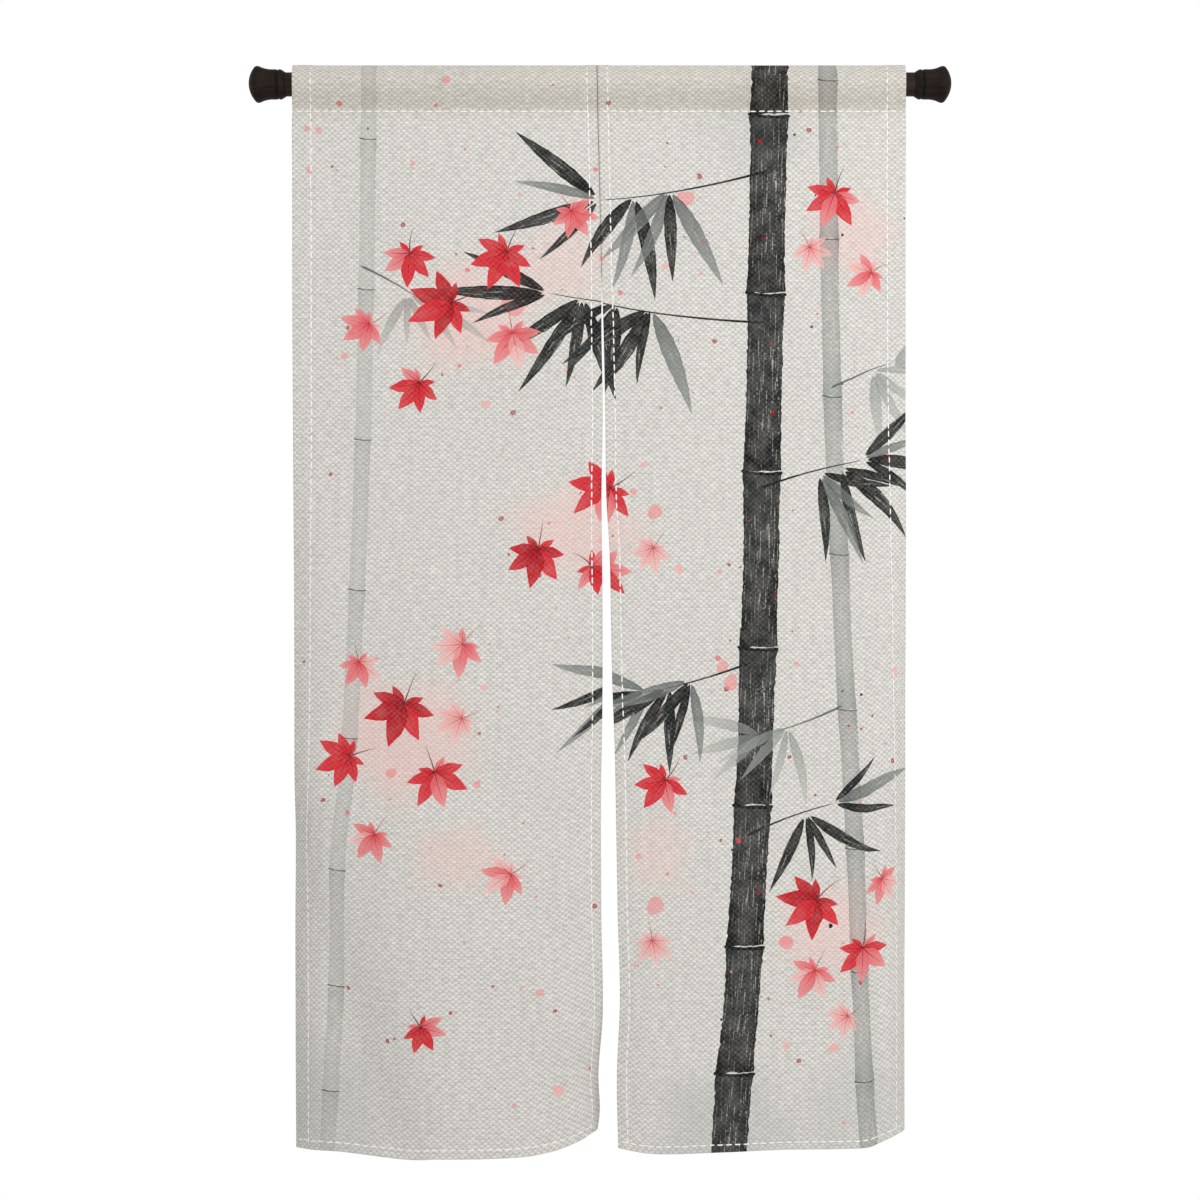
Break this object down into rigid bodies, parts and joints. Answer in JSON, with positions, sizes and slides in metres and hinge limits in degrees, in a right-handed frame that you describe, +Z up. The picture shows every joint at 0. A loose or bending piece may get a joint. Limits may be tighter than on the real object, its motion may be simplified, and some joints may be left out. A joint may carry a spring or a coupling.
{
  "type": "noren curtain on its hanging rod",
  "caption": "Split doorway curtain of two cloth panels sewn together at the top, with a rod pocket, hung on a round rod with turned end finials.",
  "frame": {"origin": "on the rod's axis at mid-span", "axes": "+Z up, +X along the rod to the viewer's right, the cloth's printed front faces -Y"},
  "size_m": [0.9714, 0.0705, 1.5082],
  "materials": {
    "cloth": "matte off-white plain weave, printed in ink grey, crimson and pale pink, white running stitches",
    "pole": "satin dark brown stain",
    "knob": "satin near-black brown stain, turned"
  },
  "bodies": {
    "root": {"panel_left": "cloth", "panel_right": "cloth", "rod": "pole", "finial_left": "knob", "finial_right": "knob"}
  },
  "joints": []
}
